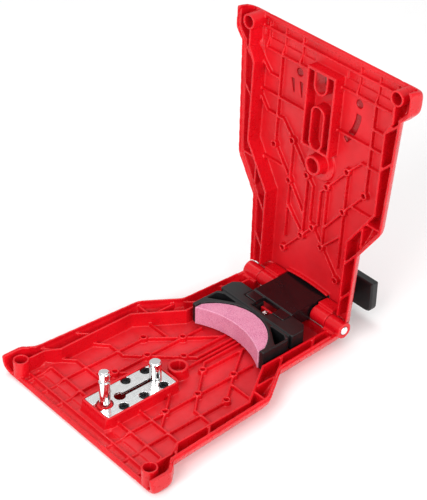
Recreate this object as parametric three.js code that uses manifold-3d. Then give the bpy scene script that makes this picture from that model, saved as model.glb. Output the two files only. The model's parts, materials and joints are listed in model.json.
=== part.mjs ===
// Bar-mounted saw chain sharpener: two hinged plastic shells, a spring-loaded
// crescent grinding stone on a slide, and a steel plate with two guide bar pins.
//
// Units are millimetres. +Z is up, +X points from the open head to the hinge,
// and the origin is the middle of the flat underside of the base shell.
//
// Both shells are drawn in a "half frame": the hinge axis is the Y axis at
// x = 0, the head lies toward -X, the rim plane is z = 0 and the outer face
// is z = -SHELL_DEPTH. The lid is the same frame turned over and swung open.

import * as THREE from 'three';
import { mergeVertices } from 'three/addons/utils/BufferGeometryUtils.js';
import Module from 'manifold-3d';

const wasm = await Module();
wasm.setup();

// ---- Driving dimensions ----------------------------------------------------

const LENGTH = 190;             // hinge axis to the front of the head
const HINGE_X = LENGTH / 2;     // places the hinge axis in the part's frame
const SHELL_DEPTH = 14.5;       // rim plane to the outer face of one shell
const FLOOR_TOP = -12;          // inner face of a shell's floor
const WALL = 2.4;               // outer wall
const RIB = 1.6;                // thickness of ribs and inner walls
const RIB_TOP = -9.1;           // top of the low floor ribs
const TRUSS_TOP = -1.6;         // top of the tall ribs beside the outer wall
const INNER_WALL_TOP = -0.9;
const RIM_GAP = 0.2;            // each rim stays this far from the rim plane
const LIP_HEIGHT = 1.2;         // locating lip on the base rim
const LIP_INSET = 1.3;          // lip's distance in from the outer face
const LID_OPEN_DEGREES = 92.7;

const HEAD_HALF = 77.3;         // half width over the ears
const EAR_BACK = 174.3;         // ears run from the front to here
const FLARE_FRONT = 167.5;      // the sides start here
const FRONT_HALF = 71.2;
const SHOULDER = 85;            // the sides turn in toward the neck here
const SHOULDER_HALF = 67;
const NECK = 59.5;
const NECK_HALF = 49.8;
const END_HALF = 47.5;          // half width at the hinge
const OPENING_HALF = 72.4;      // half width of the bar opening at its foot
const OPENING_TOP_HALF = 74.8;
const NOSE_TOP = -10.8;         // top of the low front edge in the opening
const CHANNEL_FLOOR = -13.1;    // floor between the ribs behind the front edge
const CROSS_RIB_Y = [25.7, 42, 57];

const BARREL_RADIUS = 5.8;
const PIN_RADIUS = 3;
const CLEARANCE = 0.3;          // between pieces that touch
const KNUCKLE_INNER = 20.5;     // |y| of the knuckles' ends
const KNUCKLE_SEAM = 33.5;

const POST = { s: 182.2, y: 66, outer: 5.3, inner: 4 };
const BOSS = { outer: 3, inner: 1.7, top: -8.2 };
const HUB = { s: 105, outer: 7, inner: 5, top: -4.2 };

const PLATE_TOP = -4;
const PLATE_THICKNESS = 2;
const PLATE = { front: 171.6, back: 116.6, half: 12.2 };
const PLATE_FRAME = 1.7;        // raised plastic edge round the plate
const SCREW_S = [157, 140.8, 124.9];
const SCREW_Y = 9.4;
const SCREW_HEAD_RADIUS = 3.1;
const FRONT_PIN = { s: 164.8, radius: 3.6, height: 26 };
const SLIDING_PIN = { s: 124, radius: 4.1, height: 13 };
const SLOT_HALF = 1.5;
const KEYHOLE = { s: 153, radius: 3.8 };

const STONE = { innerRadius: 60, innerApex: 55, outerRadius: 35, outerApex: 38.4, half: 31.5 };
const STONE_TOP = 5;
const STONE_BOTTOM = -8.8;
const HOLDER = { front: 63, back: 37.4, half: 35.5, top: 5.8, bottom: -8.9 };
const WING = { front: 37.4, back: 22, top: 6.9 };
const SLIDE = { half: 18.8, top: 7.5, thickness: 4, end: 31, skirt: 2, skirtBottom: -4.5 };
const PADDLE = { x: 31.3, thickness: 7, half: 41, bottom: -5, top: 19.5 };
const SPRING_TAB = { s: 24.8, half: 6.6, top: 2.8 };
const SPRING_END = 35.8;        // the spring's end on the carriage
const SLIDE_WAY_HALF = SLIDE.half + 1.4;
const LUG_SEAM = 12;            // the lid's hinge lugs end at this s

// ---- Materials -------------------------------------------------------------

const red = () => new THREE.MeshStandardMaterial({ color: 0xdf1a22, roughness: 0.38, metalness: 0 });
const black = () => new THREE.MeshStandardMaterial({ color: 0x1c1c1e, roughness: 0.45, metalness: 0 });
const pink = () => new THREE.MeshStandardMaterial({ color: 0xe28fb0, roughness: 0.95, metalness: 0 });
const nickel = () => new THREE.MeshStandardMaterial({ color: 0xdcdcdc, roughness: 0.18, metalness: 1 });
const blackSteel = () => new THREE.MeshStandardMaterial({ color: 0x18181a, roughness: 0.35, metalness: 0.8 });

// ---- Solids ----------------------------------------------------------------

// Closed three.js geometry to a manifold solid, and back.
function solid(geometry) {
  const bare = geometry.index ? geometry.toNonIndexed() : geometry.clone();
  bare.deleteAttribute('normal');
  bare.deleteAttribute('uv');
  const merged = mergeVertices(bare, 1e-4);
  const vertProperties = new Float32Array(merged.attributes.position.array);
  const triVerts = new Uint32Array(merged.index.array);
  return new wasm.Manifold(new wasm.Mesh({ numProp: 3, vertProperties, triVerts }));
}

function toGeometry(manifold) {
  const mesh = manifold.getMesh();
  const geometry = new THREE.BufferGeometry();
  geometry.setAttribute('position', new THREE.BufferAttribute(new Float32Array(mesh.vertProperties), 3));
  geometry.setIndex(new THREE.BufferAttribute(new Uint32Array(mesh.triVerts), 1));
  return geometry;
}

const join = (parts) => parts.reduce((whole, part) => whole.add(part));
const cut = (body, tools) => tools.reduce((whole, tool) => whole.subtract(tool), body);
const bothSides = (make) => [make(1), make(-1)];

function box(x0, x1, y0, y1, z0, z1) {
  const geometry = new THREE.BoxGeometry(x1 - x0, y1 - y0, z1 - z0);
  geometry.translate((x0 + x1) / 2, (y0 + y1) / 2, (z0 + z1) / 2);
  return solid(geometry);
}

// Upright prism over a closed outline of [x, y] points or a THREE.Shape.
function prism(outline, z0, z1, curveSegments = 8) {
  const shape = outline instanceof THREE.Shape
    ? outline : new THREE.Shape(outline.map(([x, y]) => new THREE.Vector2(x, y)));
  const geometry = new THREE.ExtrudeGeometry(shape, { depth: z1 - z0, bevelEnabled: false, curveSegments });
  geometry.translate(0, 0, z0);
  return solid(geometry);
}

// Upright turned solid: profile is [radius, z] from bottom axis to top axis.
function turned(profile, x, y, segments = 20) {
  const points = profile.map(([radius, z]) => new THREE.Vector2(radius, z));
  const geometry = new THREE.LatheGeometry(points, segments);
  geometry.rotateX(Math.PI / 2);
  geometry.translate(x, y, 0);
  return solid(geometry);
}

const post = (x, y, radius, z0, z1, segments) =>
  turned([[0, z0], [radius, z0], [radius, z1], [0, z1]], x, y, segments);

// Round bar along Y at the given x and z.
function barAlongY(x, z, radius, y0, y1, segments = 28) {
  const geometry = new THREE.CylinderGeometry(radius, radius, y1 - y0, segments);
  geometry.translate(x, (y0 + y1) / 2, z);
  return solid(geometry);
}

// A wall of constant thickness along a line of [s, y] points, s from the hinge.
function rib(points, z0, z1, thickness = RIB) {
  const pieces = [];
  for (let i = 1; i < points.length; i += 1) {
    const [s0, y0] = points[i - 1];
    const [s1, y1] = points[i];
    const run = Math.hypot(s1 - s0, y1 - y0);
    const geometry = new THREE.BoxGeometry(run + thickness * 0.8, thickness, z1 - z0);
    geometry.rotateZ(Math.atan2(y1 - y0, s0 - s1));
    geometry.translate(-(s0 + s1) / 2, (y0 + y1) / 2, (z0 + z1) / 2);
    pieces.push(solid(geometry));
  }
  return join(pieces);
}

// The same rib on both sides of the middle line.
const mirroredRib = (points, z0, z1, thickness) =>
  bothSides((side) => rib(points.map(([s, y]) => [s, side * y]), z0, z1, thickness));

// Moves each edge of a counter-clockwise outline inward by its own inset.
function insetOutline(outline, edgeInsets) {
  const count = outline.length;
  const lines = outline.map(([x, y], i) => {
    const [nextX, nextY] = outline[(i + 1) % count];
    const length = Math.hypot(nextX - x, nextY - y);
    const direction = [(nextX - x) / length, (nextY - y) / length];
    const shift = edgeInsets[i];
    return { x: x - direction[1] * shift, y: y + direction[0] * shift, direction };
  });
  return lines.map((line, i) => {
    const before = lines[(i + count - 1) % count];
    const cross = before.direction[0] * line.direction[1] - before.direction[1] * line.direction[0];
    const along = ((line.x - before.x) * line.direction[1]
      - (line.y - before.y) * line.direction[0]) / cross;
    return [before.x + before.direction[0] * along, before.y + before.direction[1] * along];
  });
}

// Replaces every corner by a short curve, always with the same point count.
function roundCorners(outline, radius, steps = 2) {
  const rounded = [];
  const count = outline.length;
  outline.forEach(([x, y], i) => {
    const [beforeX, beforeY] = outline[(i + count - 1) % count];
    const [afterX, afterY] = outline[(i + 1) % count];
    const toBefore = Math.hypot(beforeX - x, beforeY - y);
    const toAfter = Math.hypot(afterX - x, afterY - y);
    const reach = Math.min(radius, toBefore * 0.45, toAfter * 0.45);
    const start = new THREE.Vector2(x + (beforeX - x) * reach / toBefore, y + (beforeY - y) * reach / toBefore);
    const end = new THREE.Vector2(x + (afterX - x) * reach / toAfter, y + (afterY - y) * reach / toAfter);
    const curve = new THREE.QuadraticBezierCurve(start, new THREE.Vector2(x, y), end);
    curve.getPoints(steps).forEach((point) => rounded.push([point.x, point.y]));
  });
  return rounded;
}

// Solid through a stack of outlines that all have the same number of points.
function loft(levels) {
  const count = levels[0].outline.length;
  const positions = levels.flatMap(({ outline, z }) => outline.flatMap(([x, y]) => [x, y, z]));
  const index = [];
  for (let level = 0; level + 1 < levels.length; level += 1) {
    for (let i = 0; i < count; i += 1) {
      const a = level * count + i;
      const b = level * count + (i + 1) % count;
      index.push(a, b, b + count, a, b + count, a + count);
    }
  }
  const cap = (level) => THREE.ShapeUtils.triangulateShape(
    levels[level].outline.map(([x, y]) => new THREE.Vector2(x, y)), []);
  const top = (levels.length - 1) * count;
  cap(0).forEach(([a, b, c]) => index.push(a, c, b));
  cap(levels.length - 1).forEach(([a, b, c]) => index.push(top + a, top + b, top + c));
  const geometry = new THREE.BufferGeometry();
  geometry.setAttribute('position', new THREE.Float32BufferAttribute(positions, 3));
  geometry.setIndex(index);
  return solid(geometry);
}

// Outline through [x, y] points given for +Y and repeated for -Y.
function symmetricOutline(half) {
  const near = half.map(([x, y]) => [x, -y]);
  return [...near, ...[...half].reverse()];
}

// ---- Shell hulls -----------------------------------------------------------

const BODY_HALF = [
  [-LENGTH, FRONT_HALF - 0.6], [-FLARE_FRONT, FRONT_HALF], [-SHOULDER, SHOULDER_HALF],
  [-NECK, NECK_HALF], [-0.6, END_HALF],
];
const BODY = symmetricOutline(BODY_HALF);
// Sides slope in fully; the front, the last edge, and the hinge end, the
// fifth, have only a small fillet.
const BODY_FACTORS = BODY.map((point, i) => (i === 4 || i === BODY.length - 1 ? 0.28 : 1));

// How far the side walls curve in below the rim.
const HULL_CURVE = [
  { z: -SHELL_DEPTH, inset: 12.4 }, { z: -13.2, inset: 9.4 }, { z: -11, inset: 6.2 },
  { z: -8, inset: 3.4 }, { z: -4.5, inset: 1.2 }, { z: -1.5, inset: 0.2 },
];

// Upright corners are sharper near the rim.
const cornerRadius = (z) => THREE.MathUtils.mapLinear(Math.min(z, -9), -SHELL_DEPTH, -9, 5, 1.8);

function bodyLoft(extra, levels) {
  return loft(levels.map(({ z, inset }) => ({
    z,
    outline: roundCorners(
      insetOutline(BODY, BODY_FACTORS.map((factor) => inset * factor + extra)), cornerRadius(z)),
  })));
}

// One ear: the square front corner. Each level gives the inset of the front
// face, which is flush with the body's, and of the sides.
function earLoft(side, extra, levels) {
  const corners = [
    [-LENGTH + extra, side * 56], [-LENGTH + extra, side * (HEAD_HALF - extra)],
    [-EAR_BACK - extra * 0.4, side * (HEAD_HALF - extra)],
    [-FLARE_FRONT - extra * 0.4, side * (FRONT_HALF - extra)], [-FLARE_FRONT + 6, side * 56],
  ];
  const outline = side > 0 ? corners.reverse() : corners;
  return loft(levels.map(({ z, front, sides }) => {
    const insets = side > 0 ? [sides, sides, sides, front, 0] : [front, sides, sides, sides, 0];
    return { z, outline: roundCorners(insetOutline(outline, insets), cornerRadius(z), 3) };
  }));
}

const EAR_CURVE = [
  { z: -SHELL_DEPTH, front: 3.47, sides: 5 }, { z: -13.9, front: 3.09, sides: 2.6 },
  { z: -13.2, front: 2.63, sides: 1.6 }, { z: -11, front: 1.74, sides: 0.3 },
  { z: -8, front: 0.95, sides: 0 }, { z: -4.5, front: 0.34, sides: 0 },
];

// Outer form of a shell, solid inside.
const outerForm = (rimTop) => join([
  bodyLoft(0, [...HULL_CURVE, { z: rimTop, inset: 0 }]),
  ...bothSides((side) => earLoft(side, 0, [...EAR_CURVE, { z: rimTop, front: 0, sides: 0 }])),
]);

// Space inside a shell, down to the floor.
function hollowForm() {
  const hollowLevels = [
    { z: FLOOR_TOP, inset: 7.6 }, { z: -11, inset: 6.2 }, { z: -8, inset: 3.4 },
    { z: -4.5, inset: 1.2 }, { z: -1.5, inset: 0.2 }, { z: 4, inset: 0 },
  ];
  const earLevels = [
    { z: FLOOR_TOP, front: 2.1, sides: 3 }, { z: -11, front: 1.74, sides: 1.2 },
    { z: -9, front: 1.2, sides: 0.2 }, { z: 4, front: 0, sides: 0 },
  ];
  return join([
    bodyLoft(WALL, hollowLevels),
    ...bothSides((side) => earLoft(side, WALL, earLevels)),
  ]);
}

// Hollow shell with its inner features, which end at the outer face.
function shellWith(rimTop, features) {
  const outer = outerForm(rimTop);
  return outer.subtract(hollowForm()).add(outer.intersect(join(features)));
}

// Shell with its cuts made, then with whole posts in the ears.
function openedShell(body, bosses, cuts) {
  const opened = cut(body, [frontOpening(), ...noseChannels(), ...cuts]);
  const solids = bothSides((side) => post(-POST.s, side * POST.y, POST.outer, FLOOR_TOP - 0.5, -RIM_GAP, 24));
  const bores = bothSides((side) => post(-POST.s, side * POST.y, POST.inner, FLOOR_TOP, 3, 20));
  return cut(join([opened, ...solids]), [
    ...bores, ...bosses.flatMap((at) => bothSides((side) => boreAt(at, side))),
  ]);
}

// Bar opening in the head, from one ear's side wall to the other's.
function frontOpening() {
  const half = [[OPENING_HALF, NOSE_TOP], [OPENING_TOP_HALF, NOSE_TOP + 3], [OPENING_TOP_HALF, 8]];
  const points = [...half, ...half.map(([y, z]) => [-y, z]).reverse()];
  const shape = new THREE.Shape(points.map(([y, z]) => new THREE.Vector2(y, z)));
  const geometry = new THREE.ExtrudeGeometry(shape, { depth: 20, bevelEnabled: false });
  // Shape x, y and depth become y, z and x.
  geometry.applyMatrix4(new THREE.Matrix4().makeBasis(
    new THREE.Vector3(0, 1, 0), new THREE.Vector3(0, 0, 1), new THREE.Vector3(1, 0, 0)));
  geometry.translate(-LENGTH - 14, 0, 0);
  return solid(geometry);
}

// Band along the rim, from just outside its outer face to `inset` inside it.
function rimBand(inset, z0, z1) {
  const outline = [
    [-LENGTH, HEAD_HALF], [-EAR_BACK, HEAD_HALF], [-FLARE_FRONT, FRONT_HALF],
    [-SHOULDER, SHOULDER_HALF], [-NECK, NECK_HALF], [-0.6, END_HALF],
  ];
  const whole = symmetricOutline(outline);
  const outside = roundCorners(insetOutline(whole, whole.map(() => -3)), 3);
  const inside = roundCorners(insetOutline(whole, whole.map(() => inset)), 3);
  return prism(outside, z0, z1).subtract(prism(inside, z0 - 1, z1 + 1));
}

// ---- Ribs shared by both shells --------------------------------------------

const LOW = [FLOOR_TOP - 0.5, RIB_TOP];
const TALL = [FLOOR_TOP - 0.5, TRUSS_TOP];

// Wall parallel to the outer wall, and the truss between the two.
function wallTruss() {
  const wallLine = [[176.5, 64.6], [164.5, 64.6], [155.2, 59.4], [96.5, 59.4], [65.5, 38.8], [7.5, 38.3]];
  return [
    ...mirroredRib(wallLine, FLOOR_TOP - 0.5, INNER_WALL_TOP),
    ...mirroredRib([[165, 69.5], [155.2, 59.4]], ...TALL),
    ...mirroredRib([[138, 68.2], [129, 59.4]], ...TALL),
    ...mirroredRib([[86.5, 65.5], [86.5, 53]], ...TALL),
    ...mirroredRib([[81, 50.6], [67, 50.6]], ...TALL),
    ...mirroredRib([[59.5, 47.5], [48.5, 38.8]], ...TALL),
    ...mirroredRib([[30, 46.5], [19.5, 38.6]], ...TALL),
  ];
}

// The two low bars and cross ribs behind the front edge. Each cross rib runs
// low behind the bars and rises to the rib at the end of the bay.
function noseRibs() {
  const end = 62;
  const bay = 165;
  const top = RIB_TOP;
  const low = NOSE_TOP - 0.5;
  const profile = [
    [186, -13.5], [186, low], [172.6, low], [171, low + 0.4], [167.4, top - 0.4], [bay, top], [bay, -13.5],
  ];
  const crossRib = (y) => {
    const shape = new THREE.Shape(profile.map(([s, z]) => new THREE.Vector2(-s, z)));
    const geometry = new THREE.ExtrudeGeometry(shape, { depth: RIB, bevelEnabled: false });
    geometry.rotateX(Math.PI / 2);
    geometry.translate(0, y + RIB / 2, 0);
    return solid(geometry);
  };
  return [
    rib([[185.2, -end], [185.2, end]], FLOOR_TOP - 0.5, NOSE_TOP),
    rib([[178.8, -end], [178.8, end]], FLOOR_TOP - 0.5, NOSE_TOP + 0.5),
    rib([[bay, -56], [bay, 56]], FLOOR_TOP - 0.5, top),
    ...CROSS_RIB_Y.flatMap((y) => [crossRib(y), crossRib(-y)]),
  ];
}

// Deeper floors between those ribs, and the groove along the front edge.
function noseChannels() {
  const edges = [14.6, ...CROSS_RIB_Y, 62.6].map((y, i) => [y - RIB / 2, y + (i ? RIB / 2 : 0)]);
  const bays = edges.slice(1).map(([end], i) => [edges[i][1], end]);
  const [, ...outerBays] = bays;
  const channelIn = (side, ways, x0, x1) => ways.map(([y0, y1]) =>
    box(x0, x1, side > 0 ? y0 : -y1, side > 0 ? y1 : -y0, CHANNEL_FLOOR, 0));
  const middle = CROSS_RIB_Y[0] - RIB / 2;
  return [
    box(-188.7, -186.2, -70, 70, -12.4, 0),
    box(-184.4, -179.6, -middle, middle, CHANNEL_FLOOR, 0),
    ...bothSides((side) => channelIn(side, outerBays, -184.4, -179.6)).flat(),
    ...bothSides((side) => channelIn(side, bays, -178, -171.5)).flat(),
  ];
}

const bossAt = ([s, y], side) => post(-s, side * y, BOSS.outer, FLOOR_TOP - 0.5, BOSS.top, 10);
const boreAt = ([s, y], side) => post(-s, side * y, BOSS.inner, FLOOR_TOP, BOSS.top + 1, 8);

// ---- Base shell ------------------------------------------------------------

const BASE_BOSSES = [[137, 25.7], [110, 25.7], [79.4, 25.7], [100, 42], [92, 9.5]];

function baseFloorRibs() {
  return [
    ...mirroredRib([[165, 42], [100, 42], [79.4, 25.7], [58, 10]], ...LOW),
    ...mirroredRib([[165, 25.7], [63, 25.7]], ...LOW),
    ...mirroredRib([[148, 42], [148, 52], [155, 59]], ...LOW),
    ...mirroredRib([[148, 14], [148, 42]], ...LOW),
    ...mirroredRib([[129, 59], [121.5, 51], [121.5, 36.5], [110, 25.7], [92, 9.5]], ...LOW),
    ...mirroredRib([[92, 9.5], [85.5, 3.6], [52, 3.6]], ...LOW),
    ...mirroredRib([[92, 9.5], [52, 9.5]], ...LOW),
    ...mirroredRib([[148, 35], [137, 25.7], [121, 12]], ...LOW),
    ...mirroredRib([[86.5, 33], [86.5, 53]], ...LOW),
    rib([[98, 0], [52, 0]], ...LOW),
  ];
}

// Raised box that carries the steel plate, with a ramp down to the front.
function plateBox() {
  const frame = PLATE_FRAME + CLEARANCE;
  const half = PLATE.half + frame;
  const front = PLATE.front + frame;
  const back = PLATE.back - frame;
  const shape = roundCorners([[-front, -half], [-back, -half], [-back, half], [-front, half]], 3.5);
  const ramp = new THREE.Shape([
    new THREE.Vector2(-front - 1.6, FLOOR_TOP - 0.3), new THREE.Vector2(-front + 2, FLOOR_TOP - 0.3),
    new THREE.Vector2(-front + 2, PLATE_TOP + 0.2), new THREE.Vector2(-front + 0.6, PLATE_TOP + 0.2),
  ]);
  const geometry = new THREE.ExtrudeGeometry(ramp, { depth: 2 * half - 3, bevelEnabled: false });
  geometry.rotateX(Math.PI / 2);
  geometry.translate(0, half - 1.5, 0);
  return prism(shape, FLOOR_TOP - 0.5, PLATE_TOP + 0.5).add(solid(geometry));
}

function plateBoxCuts() {
  const seat = PLATE_TOP - PLATE_THICKNESS - CLEARANCE;
  const gap = CLEARANCE;
  return [
    box(-PLATE.front - gap, -PLATE.back + gap, -PLATE.half - gap, PLATE.half + gap, seat, 0),
    box(-KEYHOLE.s - 5, -SLIDING_PIN.s + 6, -5, 5, FLOOR_TOP + 0.5, 0),
    ...SCREW_S.flatMap((s) => bothSides((side) => post(-s, side * SCREW_Y, 1.6, FLOOR_TOP + 1, 0, 8))),
  ];
}

// Boss that shows in the plate's front notch and holds the fixed pin.
function frontPinBoss() {
  return post(-FRONT_PIN.s, 0, 5, FLOOR_TOP, PLATE_TOP - 0.6, 24);
}

function baseHinge() {
  const hull = outerForm(-RIM_GAP);
  const length = END_HALF - KNUCKLE_SEAM - CLEARANCE;
  return bothSides((side) => {
    const y0 = side > 0 ? KNUCKLE_SEAM + CLEARANCE : -END_HALF;
    const barrel = barAlongY(0, 0, BARREL_RADIUS, y0, y0 + length);
    const web = box(-BARREL_RADIUS - 2, -0.6, y0, y0 + length, -SHELL_DEPTH + 4, -1.5);
    return barrel.add(web.intersect(hull));
  });
}

function baseShell() {
  const hub = turned([
    [0, FLOOR_TOP - 0.5], [HUB.outer, FLOOR_TOP - 0.5], [HUB.outer, HUB.top], [0, HUB.top],
  ], -HUB.s, 0, 28);
  let body = shellWith(LIP_HEIGHT, [
    ...wallTruss(), ...noseRibs(), ...baseFloorRibs(), plateBox(), hub,
    ...BASE_BOSSES.flatMap((at) => bothSides((side) => bossAt(at, side))),
    rib([[SPRING_TAB.s, -SPRING_TAB.half], [SPRING_TAB.s, SPRING_TAB.half]],
      FLOOR_TOP - 0.5, SPRING_TAB.top, 1.8),
  ]);
  body = openedShell(body, BASE_BOSSES, [
    rimBand(LIP_INSET, -RIM_GAP, 4),
    box(-12, 6, -60, 60, -RIM_GAP, 4),
    box(-POST.s - 12, -FLARE_FRONT - 4, -80, 80, -RIM_GAP, 4),
    post(-HUB.s, 0, HUB.inner, FLOOR_TOP, 0, 28),
    ...plateBoxCuts(),
    // Room for the slide and the lid's knuckles above the end wall.
    box(-7, 6, -KNUCKLE_SEAM - 0.2, KNUCKLE_SEAM + 0.2, -7, 4),
  ]);
  body = join([body, frontPinBoss(), ...baseHinge()]);
  return cut(body, [
    post(-FRONT_PIN.s, 0, 2.3, FLOOR_TOP + 1, 0, 16),
    barAlongY(0, 0, PIN_RADIUS + CLEARANCE, -80, 80),
  ]);
}

// ---- Lid shell -------------------------------------------------------------

const LID_BOSSES = [[109.3, 25.6], [79, 25.6], [99.4, 42.2], [90.3, 9.5], [43.2, 9.5], [25, 25.6]];

function lidFloorRibs() {
  return [
    ...mirroredRib([[165, 42.2], [99.4, 42.2], [79, 25.6], [58, 9.5]], ...LOW),
    ...mirroredRib([[109.3, 25.6], [35, 25.6]], ...LOW),
    ...mirroredRib([[148, 42.2], [148, 52], [155, 59]], ...LOW),
    ...mirroredRib([[134.5, 12.8], [134.5, 59]], ...LOW),
    ...mirroredRib([[129, 59], [120.5, 52], [120.5, 36.5], [109.3, 25.6], [90.3, 9.5]], ...LOW),
    ...mirroredRib([[90.3, 9.5], [84, 3.8], [58, 3.8], [54, 0]], ...LOW),
    ...mirroredRib([[90.3, 9.5], [43.2, 9.5]], ...LOW),
    ...mirroredRib([[60, 25.6], [43.2, 9.5]], ...LOW),
    ...mirroredRib([[54.2, 0], [25, 25.6]], ...LOW),
    ...mirroredRib([[86, 31.5], [86, 53]], ...LOW),
  ];
}

// Walled pocket that faces the steel plate: a rectangular wall round a
// U-shaped pin slot and a long slot with round ends.
function pinPocket() {
  const top = -3.5;
  const bottom = FLOOR_TOP - 0.5;
  const wall = (halfY, s0, s1) => box(-s1, -s0, -halfY, halfY, bottom, top);
  const frame = wall(12.9, 114.9, 171.8).subtract(box(-170.2, -116.7, -11.1, 11.1, FLOOR_TOP, 0));
  const stadium = (s0, s1, radius, z0, z1) => join([
    post(-s0, 0, radius, z0, z1, 24), post(-s1, 0, radius, z0, z1, 24), box(-s1, -s0, -radius, radius, z0, z1),
  ]);
  return {
    solids: [
      frame,
      stadium(121.3, 141.2, 6.2, bottom, top),
      post(-161.2, 0, 6.2, bottom, top, 24),
      box(-171, -161.2, -6.2, 6.2, bottom, top),
    ],
    cuts: [
      stadium(121.3, 141.2, 4.8, FLOOR_TOP, 0),
      post(-161.2, 0, 4.7, -SHELL_DEPTH - 1, 0, 24),
      box(-170.2, -161.2, -4.7, 4.7, -SHELL_DEPTH - 1, top + 1),
    ],
  };
}

// Blind marks in the floor beside the pocket, and a blind hole at each one.
function floorMarks() {
  const depth = [FLOOR_TOP - 1.4, FLOOR_TOP + 0.1];
  const wedge = (s0, s1, y, slope) => prism([
    [-s0, -y - 1.6], [-s1, -y - slope], [-s0, -y + 1.6],
  ], ...depth);
  const arc = new THREE.Shape();
  const from = Math.PI * 0.25;
  const to = Math.PI * 0.49;
  arc.absarc(-152, -5, 34.8, from, to, false);
  arc.absarc(-152, -5, 30.4, to, from, true);
  return [
    ...bothSides((side) => post(-158.3, side * 27, 3, FLOOR_TOP - 2, 0, 18)),
    wedge(152, 138, 33, -3), wedge(152, 138, 25, -2),
    prism(arc, ...depth, 10),
  ];
}

// Arched way through the lid's end for the slide.
function slideArch() {
  const shape = new THREE.Shape();
  shape.moveTo(4, -SLIDE_WAY_HALF);
  shape.lineTo(4, SLIDE_WAY_HALF);
  shape.lineTo(-8.7, SLIDE_WAY_HALF);
  shape.quadraticCurveTo(-11.5, 0, -8.7, -SLIDE_WAY_HALF);
  return prism(shape, -SHELL_DEPTH - 1, 4, 12);
}

function lidHinge() {
  const hull = outerForm(-RIM_GAP);
  const length = KNUCKLE_SEAM - KNUCKLE_INNER;
  return bothSides((side) => {
    const y0 = side > 0 ? KNUCKLE_INNER : -KNUCKLE_SEAM;
    const barrel = barAlongY(0, 0, BARREL_RADIUS, y0, y0 + length);
    const web = box(-BARREL_RADIUS - 2, -0.6, y0, y0 + length, -SHELL_DEPTH + 4, -1.5);
    return barrel.add(web.intersect(hull));
  });
}

function lidShell() {
  const pocket = pinPocket();
  const hub = turned([
    [0, FLOOR_TOP - 0.5], [13, FLOOR_TOP - 0.5], [13, FLOOR_TOP + 1.2], [HUB.outer + 0.6, FLOOR_TOP + 1.2],
    [HUB.outer, HUB.top + 1], [0, HUB.top + 1],
  ], -HUB.s + 1, 0, 28);
  let body = shellWith(-RIM_GAP, [
    ...wallTruss(), ...noseRibs(), ...lidFloorRibs(), hub, ...pocket.solids,
    ...LID_BOSSES.flatMap((at) => bothSides((side) => bossAt(at, side))),
    bossAt([54.2, 0], 1),
  ]);
  // Step inside the rim that takes the base's lip.
  const lipSeat = rimBand(WALL + 1, -RIM_GAP - LIP_HEIGHT - 0.4, 4)
    .subtract(rimBand(LIP_INSET - CLEARANCE, -RIM_GAP - LIP_HEIGHT - 1, 5));
  body = openedShell(body, LID_BOSSES, [
    lipSeat,
    post(-HUB.s + 1, 0, HUB.inner, FLOOR_TOP, 0, 28),
    boreAt([54.2, 0], 1),
    ...pocket.cuts,
    ...floorMarks(),
    slideArch(),
    // Room for the base's knuckles.
    ...bothSides((side) => barAlongY(0, 0, BARREL_RADIUS + 0.7,
      Math.min(side * (KNUCKLE_SEAM + 0.1), side * 60), Math.max(side * (KNUCKLE_SEAM + 0.1), side * 60))),
    box(-7, 6, -KNUCKLE_SEAM - 0.2, KNUCKLE_SEAM + 0.2, -7, 4),
  ]);
  body = join([body, ...lidHinge()]);
  return cut(body, [barAlongY(0, 0, PIN_RADIUS + CLEARANCE, -80, 80)]);
}

// Space of one hinge lug, beside the slide's way, grown by `margin`.
function lugZone(side, margin) {
  const inner = SLIDE_WAY_HALF + CLEARANCE - margin;
  const [y0, y1] = side > 0 ? [inner, HEAD_HALF] : [-HEAD_HALF, -inner];
  return box(-LUG_SEAM - margin, 2 * BARREL_RADIUS, y0, y1, -SHELL_DEPTH - 1, 2 * BARREL_RADIUS);
}

// ---- Steel plate, pins and screws ------------------------------------------

function pinPlate() {
  const top = PLATE_TOP;
  const bottom = top - PLATE_THICKNESS;
  const recess = top - 1.3;
  return cut(box(-PLATE.front, -PLATE.back, -PLATE.half, PLATE.half, bottom, top), [
    post(-FRONT_PIN.s, 0, 5.5, bottom - 1, top + 1, 28),
    box(-PLATE.front - 1, -FRONT_PIN.s, -3.9, 3.9, bottom - 1, top + 1),
    post(-KEYHOLE.s, 0, KEYHOLE.radius, bottom - 1, top + 1, 24),
    box(-KEYHOLE.s, -SLIDING_PIN.s + SLOT_HALF, -SLOT_HALF, SLOT_HALF, bottom - 1, top + 1),
    ...SCREW_S.flatMap((s) => bothSides((side) => post(-s, side * SCREW_Y, 3.5, recess, top + 1, 16))),
    ...SCREW_S.flatMap((s) => bothSides((side) => post(-s, side * SCREW_Y, 1.9, bottom - 1, top + 1, 8))),
  ]);
}

// Cross-recessed pan head screw, head top at z = 0.
function panScrew(headRadius, headHeight, shankRadius, length) {
  const body = turned([
    [0, -length], [shankRadius * 0.5, -length], [shankRadius, -length + 1.2], [shankRadius, -headHeight],
    [headRadius, -headHeight], [headRadius, -headHeight * 0.45], [headRadius * 0.72, -0.12], [0, 0],
  ], 0, 0, 12);
  const half = headRadius * 0.16;
  const reach = headRadius * 0.58;
  const depth = -headHeight * 0.7;
  return cut(body, [box(-reach, reach, -half, half, depth, 1), box(-half, half, -reach, reach, depth, 1)]);
}

const plateScrew = () => panScrew(SCREW_HEAD_RADIUS, 1.2, 1.3, 6.4);

// Fixed pin: a straight shank in the base boss, a ring groove near the top.
function frontPin() {
  const { radius, height } = FRONT_PIN;
  const top = PLATE_TOP + height;
  const foot = PLATE_TOP - 0.3;
  return turned([
    [0, FLOOR_TOP + 1.3], [2, FLOOR_TOP + 1.3], [2, foot], [radius, foot], [radius, top - 7.6],
    [radius - 0.9, top - 6.9], [radius - 0.9, top - 5.7], [radius, top - 5], [radius, top - 0.9],
    [radius - 0.9, top], [0, top],
  ], -FRONT_PIN.s, 0, 28);
}

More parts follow.
